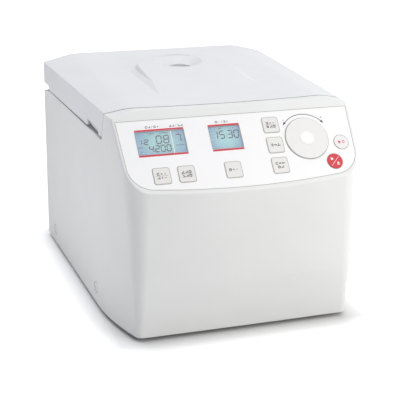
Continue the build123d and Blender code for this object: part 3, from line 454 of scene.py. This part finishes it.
# printed marks, drawn flat in millimetres and then laid on the panel
ink = {
    "black": printedInk("inkBlack", (0.06, 0.06, 0.065)),
    "red": printedInk("inkRed", (0.63, 0.045, 0.07)),
    "line": printedInk("inkLine", (0.42, 0.41, 0.35)),
    # painted shade, used for the rings in the gaps round the flank caps
    "shade": printedInk("paintedShadeInk", (0.44, 0.445, 0.455)),
    "pale": printedInk("inkPale", (0.80, 0.80, 0.775)),
    "white": printedInk("inkWhite", (0.9, 0.9, 0.9)),
    "segment": printedInk("inkSegment", (0.02, 0.022, 0.05), rough=0.3)}
inkThick = 0.05
printLift = 0.03
arcStep, fewestSteps = 6, 6  # degrees per step of a band, and the least steps it gets
panelPlane = {"lean": 41.6, "top": (0, -126.5, 232.6)}


def panelPlace(lift):
    # across, up the slope and out of the panel, from millimetres to metres
    lean = radians(panelPlane["lean"])
    turn = Matrix(((1, 0, 0), (0, sin(lean), -cos(lean)), (0, cos(lean), sin(lean)))).to_4x4()
    onPanel = Matrix.Translation(panelPlane["top"]) @ turn @ Matrix.Translation((0, 0, lift))
    return Matrix.Diagonal((mm, mm, mm, 1)) @ onPanel


def finishPiece(name, bm, body, material, place=None):
    if place is not None:
        bmesh.ops.transform(bm, matrix=place, verts=bm.verts)
    bmesh.ops.recalc_face_normals(bm, faces=bm.faces)
    mesh = bpy.data.meshes.new(name)
    bm.to_mesh(mesh)
    bm.free()
    mesh.materials.append(material)
    piece = bpy.data.objects.new(name, mesh)
    bpy.context.scene.collection.objects.link(piece)
    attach(piece, body)
    return piece


def spot(x, y, turn=0.0, sizes=(1, 1, 1)):
    turned = Matrix.Rotation(radians(turn), 4, "Z")
    return Matrix.Translation((x, y, 0)) @ turned @ Matrix.Diagonal((*sizes, 1))


def raiseFaces(bm, faces, way):
    # gives flat faces a thickness and returns the raised corners
    raised = bmesh.ops.extrude_face_region(bm, geom=faces)
    verts = [item for item in raised["geom"] if isinstance(item, bmesh.types.BMVert)]
    bmesh.ops.translate(bm, vec=way, verts=verts)
    return verts


def facesOf(verts):
    return list({face for vert in verts for face in vert.link_faces})


def inkBar(bm, x, y, width, height, turn=0.0):
    bmesh.ops.create_cube(bm, size=1, matrix=spot(x, y, turn, (width, height, inkThick)))


def inkFlat(bm, sides, radius, place):
    # a filled shape with that many sides
    made = bmesh.ops.create_circle(bm, cap_ends=True, segments=sides, radius=radius, matrix=place)
    raiseFaces(bm, facesOf(made["verts"]), (0, 0, inkThick))


def inkArc(bm, x, y, radius, width, start=0, sweep=360):
    # a thin band bent round a centre, degrees from the right, counterclockwise
    steps = max(fewestSteps, int(abs(sweep) / arcStep))
    place = spot(x, y, start) @ Matrix.Translation((radius, 0, 0)) @ Matrix.Rotation(pi / 2, 4, "X")
    made = bmesh.ops.create_grid(bm, x_segments=1, y_segments=1, size=0.5,
                                 matrix=place @ Matrix.Diagonal((width, inkThick, 1, 1)))
    face = facesOf(made["verts"])[0]
    edges, verts = list(face.edges), list(face.verts)
    full = abs(sweep) >= 360
    if full:
        bmesh.ops.delete(bm, geom=[face], context="FACES_ONLY")
        geom = edges + verts
    else:
        geom = [face] + edges + verts
    bmesh.ops.spin(bm, geom=geom, cent=(x, y, 0), axis=(0, 0, 1), angle=radians(sweep), steps=steps,
                   use_merge=full, use_duplicate=False)


# small plain glyphs; every place and length in them is a share of the glyph's size
glyphStroke = 0.24


def glyphTurn(bm, x, y, size):
    inkArc(bm, x, y, size * 0.42, size * glyphStroke, 60, 285)
    inkFlat(bm, 3, size * 0.26, spot(x + size * 0.25, y + size * 0.36, 150))


def glyphBars(bm, x, y, size):
    for number in range(3):
        high = size * (0.4 + 0.28 * number)
        inkBar(bm, x + size * 0.36 * (number - 1), y - size * 0.48 + high / 2, size * 0.2, high)


def glyphSlope(bm, x, y, size, turn):
    inkBar(bm, x, y + size * 0.08, size * 1.1, size * glyphStroke, turn)
    inkBar(bm, x, y - size * 0.44, size, size * glyphStroke)


def glyphRise(bm, x, y, size):
    glyphSlope(bm, x, y, size, 40)


def glyphFall(bm, x, y, size):
    glyphSlope(bm, x, y, size, -40)


def glyphClock(bm, x, y, size):
    inkArc(bm, x, y, size * 0.43, size * glyphStroke)
    inkBar(bm, x, y + size * 0.14, size * 0.11, size * 0.32)
    inkBar(bm, x + size * 0.1, y, size * 0.26, size * 0.11)


def glyphList(bm, x, y, size):
    for row in (-0.38, 0, 0.38):
        inkBar(bm, x + size * 0.12, y + row * size, size * 0.68, size * glyphStroke)
        inkFlat(bm, 8, size * 0.09, spot(x - size * 0.42, y + row * size))


def glyphTray(bm, x, y, size):
    inkBar(bm, x, y + size * 0.3, size * glyphStroke, size * 0.4)
    inkFlat(bm, 3, size * 0.24, spot(x, y, 180))
    inkBar(bm, x, y - size * 0.42, size, size * glyphStroke)
    for side in (-1, 1):
        inkBar(bm, x + side * size * 0.46, y - size * 0.28, size * glyphStroke, size * 0.36)


def glyphFast(bm, x, y, size):
    for shift in (-0.26, 0.26):
        inkFlat(bm, 3, size * 0.38, spot(x + shift * size, y, -90))


def glyphGear(bm, x, y, size):
    inkArc(bm, x, y, size * 0.27, size * glyphStroke)
    for turn in range(0, 360, 45):
        inkBar(bm, x + size * 0.43 * cos(radians(turn)), y + size * 0.43 * sin(radians(turn)),
               size * 0.17, size * 0.15, turn)


def glyphMinus(bm, x, y, size):
    inkBar(bm, x, y, size * 0.7, size * 0.17)


def glyphPlus(bm, x, y, size):
    glyphMinus(bm, x, y, size)
    inkBar(bm, x, y, size * 0.17, size * 0.7)


def glyphSlash(bm, x, y, size):
    inkBar(bm, x, y, size * 1.15, size * 0.12, 66)


def glyphStart(bm, x, y, size):
    inkFlat(bm, 3, size * 0.75, spot(x - size * 0.75, y, -90))
    glyphTurn(bm, x + size * 0.85, y, size)


def glyphStop(bm, x, y, size):
    inkBar(bm, x - size, y + size * 0.9, size * 0.85, size * 0.85)
    inkFlat(bm, 3, size * 0.6, spot(x + size, y - size * 0.8))
    inkBar(bm, x + size, y - size * 1.4, size * 1.05, size * 0.2)


def glyphRow(bm, glyphs, x, y, size, pitch):
    for number, glyph in enumerate(glyphs):
        glyph(bm, x + pitch * (number - (len(glyphs) - 1) / 2), y, size)


# each key has its middle and one or two rows of glyphs
keyMarks = {
    "key_speed": ((-93.4, -65.5), ((glyphTurn, glyphPlus, glyphMinus), (glyphBars, glyphPlus, glyphMinus))),
    "key_ramp": ((-66.3, -65.5), ((glyphRise, glyphBars, glyphClock), (glyphFall, glyphBars, glyphClock))),
    "key_time": ((-14.4, -65.3), ((glyphClock, glyphPlus, glyphMinus),)),
    "key_program": ((38.9, -16.8), ((glyphList, glyphPlus, glyphMinus), (glyphGear, glyphBars, glyphClock))),
    "key_store": ((38.9, -40.9), ((glyphList, glyphFast, glyphTray),)),
    "key_quick": ((38.9, -65.0), ((glyphTurn, glyphFast, glyphFast), (glyphClock, glyphBars)))}
keyStyle = {"lift": 0.62, "glyph": 3.0, "pitch": 3.7, "rise": 2.15, "border": 8.35, "corner": 1.3,
            "lineWidth": 0.22, "rule": (13.0, 0.24), "ruled": ("key_speed", "key_ramp", "key_program")}


def makeKeyMarks():
    place = panelPlace(keyStyle["lift"])
    for name, ((x, y), rows) in keyMarks.items():
        bm = bmesh.new()
        if name in keyStyle["ruled"]:
            inkBar(bm, x, y, *keyStyle["rule"])
        for number, glyphs in enumerate(rows):
            rise = 0 if len(rows) == 1 else keyStyle["rise"] * (1 - 2 * number)
            glyphRow(bm, glyphs, x, y + rise, keyStyle["glyph"], keyStyle["pitch"])
        finishPiece(name + "Mark", bm, name, ink["black"], place)
        bm = bmesh.new()
        half, corner, width = keyStyle["border"], keyStyle["corner"], keyStyle["lineWidth"]
        straight = half - corner
        for side in (-1, 1):
            inkBar(bm, x + side * half, y, width, 2 * straight)
            inkBar(bm, x, y + side * half, 2 * straight, width)
        for quarter, (across, up) in enumerate(((1, 1), (-1, 1), (-1, -1), (1, -1))):
            inkArc(bm, x + across * straight, y + up * straight, corner, width, 90 * quarter, 90)
        finishPiece(name + "Border", bm, name, ink["pale"], place)


roundMarks = {"start": (115.7, -43.8), "stop": (102.6, -65.8), "lift": 0.62, "glyph": 3.1,
              "border": 7.8, "lineWidth": 0.22, "slash": (14.0, 0.42), "slashShift": 0.2}


def makeButtonMarks():
    place = panelPlace(roundMarks["lift"])
    x, y = roundMarks["start"]
    bm = bmesh.new()
    glyphStart(bm, x, y, roundMarks["glyph"])
    finishPiece("startMark", bm, "button_start", ink["red"], place)
    bm = bmesh.new()
    inkArc(bm, x, y, roundMarks["border"], roundMarks["lineWidth"])
    finishPiece("startBorder", bm, "button_start", ink["pale"], place)
    x, y = roundMarks["stop"]
    shift = roundMarks["slashShift"]
    bm = bmesh.new()
    inkBar(bm, x + shift, y - shift, *roundMarks["slash"], 45)
    glyphStop(bm, x, y, roundMarks["glyph"])
    finishPiece("stopMark", bm, "button_stop", ink["white"], place)


makeKeyMarks()
makeButtonMarks()
print("keys and buttons marked")


# display pictures seen through the lenses: a plate, red bars above and below it, and dark segments
# a row of figures has its text, the middle of the first one, the pitch, the width and the height
screens = {
    "speed": {"centre": (-86.4, -26.9), "size": (53.1, 26.8),
              "figures": (("12", (-109.3, -25.0), 6.9, 4.4, 5.4), ("08", (-88.2, -23.2), 8.0, 5.3, 8.7),
                          ("7", (-66.6, -22.9), 8.0, 5.0, 8.5), ("4200", (-97.9, -33.5), 6.3, 4.3, 7.2)),
              "dashes": ((-98.8, -15.7, 5), (-85.6, -15.7, 6), (-111.6, -31.2, 4), (-70.2, -31.2, 6)),
              "divider": (-73.9, -26.9, 1.1, 26.4)},
    "timer": {"centre": (-14.5, -26.9), "size": (34.6, 26.8),
              "figures": (("15", (-25.5, -23.2), 7.5, 5.0, 8.7), ("30", (-8.9, -23.2), 7.2, 5.0, 8.7)),
              "dashes": ((-20.6, -15.7, 3),),
              "colon": ((-13.2, -21.5), (-13.2, -25.2)), "pointer": (-4.2, -15.7)}}
screenStyle = {"front": -1.2, "thick": 1.2, "corner": 0.4, "barHigh": 2.1, "barGap": 0.2, "barPast": 0.8,
               "dash": (1.1, 0.9), "dashPitch": 1.5, "dot": (0.9, 0.9), "pointerSize": 0.8}
pictureStyle = {"mid": (0.33, 0.61, 0.63), "edge": (0.15, 0.25, 0.47), "fallEnds": (0.35, 1.3),
                "grain": 3000.0, "grainTone": (0.05, 0.1, 0.12), "grainShare": 0.08,
                "rough": 0.35, "glow": 0.05}
digitShape = {"stroke": 1.3, "slant": 4.0, "gap": 0.2}
segmentsOn = {"0": "abcdef", "1": "bc", "2": "abged", "3": "abgcd", "4": "fgbc", "5": "afgcd",
              "6": "afgedc", "7": "abc", "8": "abcdefg", "9": "abcdfg"}


def screenPicture(name, centre, size):
    # brighter in the middle, bluer towards the rim, measured along the leaning plate
    material, tree, shader = newMaterial(name)
    lean = radians(panelPlane["lean"])
    across, up = centre
    middle = Vector(panelPlane["top"]) * mm + Vector((across, sin(lean) * up, cos(lean) * up)) * mm
    scale = Vector((1 / size[0], sin(lean) / size[1], cos(lean) / size[1])) * 2 / mm
    point = objectPoint(tree, scale=scale, shift=-middle * scale)
    length = addNode(tree, "ShaderNodeVectorMath", {"operation": "LENGTH"})
    tree.links.new(point, length.inputs[0])
    fall = spread(tree, length.outputs["Value"], 0, 1, *pictureStyle["fallEnds"])
    tone = mixColours(tree, fall, pictureStyle["mid"], pictureStyle["edge"])
    grain = noise(tree, objectPoint(tree), pictureStyle["grain"], 1.0)
    specks = spread(tree, grain, 0, pictureStyle["grainShare"])
    tone = mixColours(tree, specks, tone, pictureStyle["grainTone"])
    tree.links.new(tone, shader.inputs["Base Color"])
    shader.inputs["Roughness"].default_value = pictureStyle["rough"]
    tree.links.new(tone, shader.inputs["Emission Color"])
    shader.inputs["Emission Strength"].default_value = pictureStyle["glow"]
    return material


def makeScreenPlates():
    middle = screenStyle["front"] - screenStyle["thick"] / 2
    high, past = screenStyle["barHigh"], screenStyle["barPast"]
    for name, screen in screens.items():
        (x, y), (w, h) = screen["centre"], screen["size"]
        bm = bmesh.new()
        bmesh.ops.create_cube(bm, size=1, matrix=spot(x, y, 0, (w, h, screenStyle["thick"])))
        corners = [e for e in bm.edges if abs(e.verts[0].co.z - e.verts[1].co.z) > screenStyle["thick"] / 2]
        bmesh.ops.bevel(bm, geom=corners, offset=screenStyle["corner"], segments=4, profile=0.5,
                        affect="EDGES", material=-1)
        plate = finishPiece(name + "Screen", bm, "housing", screenPicture(name + "Picture", (x, y), (w, h)),
                            panelPlace(middle))
        if name == "speed":
            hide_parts("display_glass")
        bm = bmesh.new()
        for side in (-1, 1):
            inkBar(bm, x, y + side * (h / 2 + high / 2 + screenStyle["barGap"]), w + past, high)
        finishPiece(name + "Bars", bm, "housing", ink["red"], panelPlace(printLift))


def addDigit(bm, figure, x, y, width, height):
    # each segment is a flat six-sided bar with pointed ends, placed by its middle and its turn
    side, up, stroke = width / 2, height / 4, digitShape["stroke"]
    places = {"a": (0, 2 * up, 90), "b": (side, up, 0), "c": (side, -up, 0), "d": (0, -2 * up, 90),
              "e": (-side, -up, 0), "f": (-side, up, 0), "g": (0, 0, 90)}
    lean = Matrix.Identity(4)
    lean[0][1] = sin(radians(digitShape["slant"]))
    for letter in segmentsOn[figure]:
        dx, dy, turn = places[letter]
        length = (width if turn else height / 2) - digitShape["gap"]
        made = bmesh.ops.create_circle(bm, cap_ends=True, segments=6, radius=1)
        for vert in made["verts"]:
            flank = 0 if abs(vert.co.x) < 0.1 else (1 if vert.co.x > 0 else -1)
            end = 1 if vert.co.y > 0 else -1
            vert.co.x = flank * stroke / 2
            vert.co.y = end * (length / 2 - (stroke / 2 if flank else 0))
        top = raiseFaces(bm, facesOf(made["verts"]), (0, 0, inkThick))
        place = Matrix.Translation((x, y, 0)) @ lean @ spot(dx, dy, turn)
        bmesh.ops.transform(bm, matrix=place, verts=made["verts"] + top)


def makeFigures():
    place = panelPlace(screenStyle["front"] + printLift)
    for name, screen in screens.items():
        bm = bmesh.new()
        for figures, (x, y), pitch, width, height in screen["figures"]:
            for number, figure in enumerate(figures):
                addDigit(bm, figure, x + number * pitch, y, width, height)
        for x, y, count in screen["dashes"]:
            for number in range(count):
                inkBar(bm, x + number * screenStyle["dashPitch"], y, *screenStyle["dash"])
        for x, y in screen.get("colon", ()):
            inkBar(bm, x, y, *screenStyle["dot"])
        if "pointer" in screen:
            inkFlat(bm, 3, screenStyle["pointerSize"], spot(*screen["pointer"], 180))
        finishPiece(name + "Figures", bm, "housing", ink["segment"], place)
        if "divider" in screen:
            bm = bmesh.new()
            inkBar(bm, *screen["divider"])
            finishPiece(name + "Divider", bm, "housing", ink["white"], place)


makeScreenPlates()
makeFigures()
print("displays lit")


# copy of a CAD mesh with its loose triangles joined
weldDistance = 0.00002


def weldedCopy(nodeName):
    bm = bmesh.new()
    bm.from_mesh(nodes[nodeName].data)
    bmesh.ops.remove_doubles(bm, verts=bm.verts, dist=weldDistance)
    return bm


# dark strip in the gap between the shell's rear edge and the lid, a painted shade standing in for the shadow
# in that gap, drawn out from the shell's own rim
# the rim runs above that height, between faces that look up and faces that look back
paintedSeamShade = {"above": 0.232, "lookUp": 0.95, "lookBack": 0.9, "upright": 0.5,
             "lap": 0.0004, "width": 0.0014, "lift": 0.00005, "deep": 0.0003}


def makePaintedSeamShade():
    bm = weldedCopy("housing_shell")
    rim = []
    for edge in bm.edges:
        high = all(vert.co.z > paintedSeamShade["above"] for vert in edge.verts)
        top = any(face.normal.z > paintedSeamShade["lookUp"] for face in edge.link_faces)
        wall = any(face.normal.y > paintedSeamShade["lookBack"] and face.normal.z < paintedSeamShade["upright"]
                   for face in edge.link_faces)
        if high and top and wall:
            rim.append(edge)
    drawn = bmesh.ops.extrude_edge_only(bm, edges=rim)
    verts = [item for item in drawn["geom"] if isinstance(item, bmesh.types.BMVert)]
    strip = {item for item in drawn["geom"] if isinstance(item, bmesh.types.BMFace)}
    bmesh.ops.translate(bm, vec=(0, paintedSeamShade["width"], 0), verts=verts)
    bmesh.ops.delete(bm, geom=[face for face in bm.faces if face not in strip], context="FACES")
    bmesh.ops.translate(bm, vec=(0, -paintedSeamShade["lap"], paintedSeamShade["lift"]), verts=bm.verts)
    raiseFaces(bm, list(bm.faces), (0, 0, -paintedSeamShade["deep"]))
    finishPiece("paintedSeamShade", bm, "housing", finishes["rubber_grey"])


# pockets inside the lid's skirt, behind its two finger notches
notchPocket = {"along": (-77.0, -33.0), "across": (134.0, 137.6), "high": (206.4, 213.4), "thick": 1.2}


def boxBetween(bm, low, high):
    place = Matrix.Translation((Vector(low) + Vector(high)) / 2 * mm)
    sizes = (Vector(high) - Vector(low)) * mm
    bmesh.ops.create_cube(bm, size=1, matrix=place @ Matrix.Diagonal((*sizes, 1)))


def makeNotchPockets():
    (front, back), (inner, outer), (low, top) = (notchPocket[key] for key in ("along", "across", "high"))
    thick = notchPocket["thick"]
    bm = bmesh.new()
    boxBetween(bm, (inner, front - thick, low), (inner + thick, back + thick, top + thick))
    boxBetween(bm, (inner + thick, front - thick, low), (outer, front, top + thick))
    boxBetween(bm, (inner + thick, back, low), (outer, back + thick, top + thick))
    boxBetween(bm, (inner + thick, front, top), (outer, back, top + thick))
    other = bmesh.ops.duplicate(bm, geom=bm.verts[:] + bm.edges[:] + bm.faces[:])
    verts = [item for item in other["geom"] if isinstance(item, bmesh.types.BMVert)]
    bmesh.ops.scale(bm, vec=(-1, 1, 1), verts=verts)
    finishPiece("notchPockets", bm, "lid", finishes["lid_white"])


# I and O on the mains rocker's two facets
rocker = {"place": (52.0, 176.0, 47.0), "tilt": -10.0, "facet": 8.9, "out": 3.83, "rise": 5.2,
          "stroke": 0.8, "bar": 4.6, "ring": 2.0}


def rockerPlace(side):
    # drawing plane on the upper or lower facet, seen from behind the object
    base = Matrix.Translation(Vector(rocker["place"]) * mm) @ Matrix.Rotation(radians(rocker["tilt"]), 4, "X")
    out = Matrix.Scale(mm, 4) @ Matrix.Translation((0, rocker["out"], side * rocker["rise"]))
    plane = Matrix.Rotation(pi, 4, "Z") @ Matrix.Rotation(pi / 2 + radians(side * rocker["facet"]), 4, "X")
    return base @ out @ plane


def makeRockerMarks():
    bm = bmesh.new()
    inkBar(bm, 0, 0, rocker["stroke"], rocker["bar"])
    finishPiece("rockerOn", bm, "rocker", ink["white"], rockerPlace(1))
    bm = bmesh.new()
    inkArc(bm, 0, 0, rocker["ring"], rocker["stroke"])
    finishPiece("rockerOff", bm, "rocker", ink["white"], rockerPlace(-1))


# thin dark ring in the gap round each cap on the flanks, a painted shade that widens the gap's shadow line
capGapShade = {"places": ((140.98, -68.0, 23.0), (146.154, 134.0, 22.0)), "radius": 6.6, "width": 0.95,
           "lift": 0.04}


def makeCapGapShades():
    bm = bmesh.new()
    for across, along, high in capGapShade["places"]:
        for side in (-1, 1):
            earlier = set(bm.verts)
            inkArc(bm, 0, 0, capGapShade["radius"], capGapShade["width"])
            fresh = [vert for vert in bm.verts if vert not in earlier]
            place = Matrix.Translation((side * (across + capGapShade["lift"]), along, high))
            bmesh.ops.transform(bm, matrix=place @ Matrix.Rotation(side * pi / 2, 4, "Y"), verts=fresh)
    finishPiece("capGapShades", bm, "housing", ink["shade"], Matrix.Scale(mm, 4))


makePaintedSeamShade()
makeNotchPockets()
makeRockerMarks()
makeCapGapShades()
print("trim added")


# arrow over the dial, its two signs, and the row of glyphs above each display
dialPrint = {"centre": (76.8, -36.0), "arrowRadius": 29.4, "arrowStart": 41.5, "arrowSweep": 95.0,
             "width": 0.8, "head": 2.3, "headShape": (0.8, 1.25, 1), "headPast": 1.5,
             "minus": (-22.2, 24.0), "plus": (22.5, 24.0), "sign": 2.7,
             "ring": 23.8, "ringWidth": 0.25, "lift": 0.82}
headings = {"glyph": 2.5, "pitch": 3.1,
            "rows": (((glyphTurn, glyphBars, glyphSlash, glyphTurn, glyphPlus), (-93.3, -8.5)),
                     ((glyphRise, glyphBars, glyphSlash, glyphFall, glyphBars), (-66.8, -8.7)),
                     ((glyphClock, glyphMinus, glyphSlash, glyphList, glyphPlus), (-15.5, -8.4)))}


def makePanelPrint():
    bm = bmesh.new()
    x, y = dialPrint["centre"]
    radius, past = dialPrint["arrowRadius"], dialPrint["headPast"]
    start, sweep = dialPrint["arrowStart"], dialPrint["arrowSweep"]
    inkArc(bm, x, y, radius, dialPrint["width"], start, sweep)
    for angle, turn in ((start - past, start - 180), (start + sweep + past, start + sweep)):
        across, up = radius * cos(radians(angle)), radius * sin(radians(angle))
        inkFlat(bm, 3, dialPrint["head"], spot(x + across, y + up, turn, dialPrint["headShape"]))
    for glyph, (across, up) in ((glyphMinus, dialPrint["minus"]), (glyphPlus, dialPrint["plus"])):
        glyph(bm, x + across, y + up, dialPrint["sign"])
    for glyphs, (across, up) in headings["rows"]:
        glyphRow(bm, glyphs, across, up, headings["glyph"], headings["pitch"])
    finishPiece("panelMarks", bm, "housing", ink["black"], panelPlace(printLift))
    bm = bmesh.new()
    inkArc(bm, x, y, dialPrint["ring"], dialPrint["ringWidth"])
    finishPiece("dialBorder", bm, "dial", ink["pale"], panelPlace(dialPrint["lift"]))


# thin printed line round the overlay and round each cut-out, taken from the overlay's own front face
overlayLine = {"width": 0.00055, "lift": 0.00004, "facing": 0.9, "near": 0.0002}


def makeOverlayLine():
    bm = weldedCopy("membrane_overlay")
    lean = radians(panelPlane["lean"])
    outward = Vector((0, -cos(lean), sin(lean)))
    top = Vector(panelPlane["top"]) * mm
    front = {face for face in bm.faces if face.normal.dot(outward) >= overlayLine["facing"]
             and abs((face.calc_center_median() - top).dot(outward)) <= overlayLine["near"]}
    bmesh.ops.delete(bm, geom=[face for face in bm.faces if face not in front], context="FACES")
    flat = list(bm.faces)
    bmesh.ops.inset_region(bm, faces=flat, thickness=overlayLine["width"], use_boundary=True,
                           use_even_offset=True)
    bmesh.ops.delete(bm, geom=[face for face in flat if face.is_valid], context="FACES")
    raiseFaces(bm, list(bm.faces), outward * overlayLine["lift"])
    finishPiece("overlayLine", bm, "housing", ink["line"])


makePanelPrint()
makeOverlayLine()
print("panel printed")
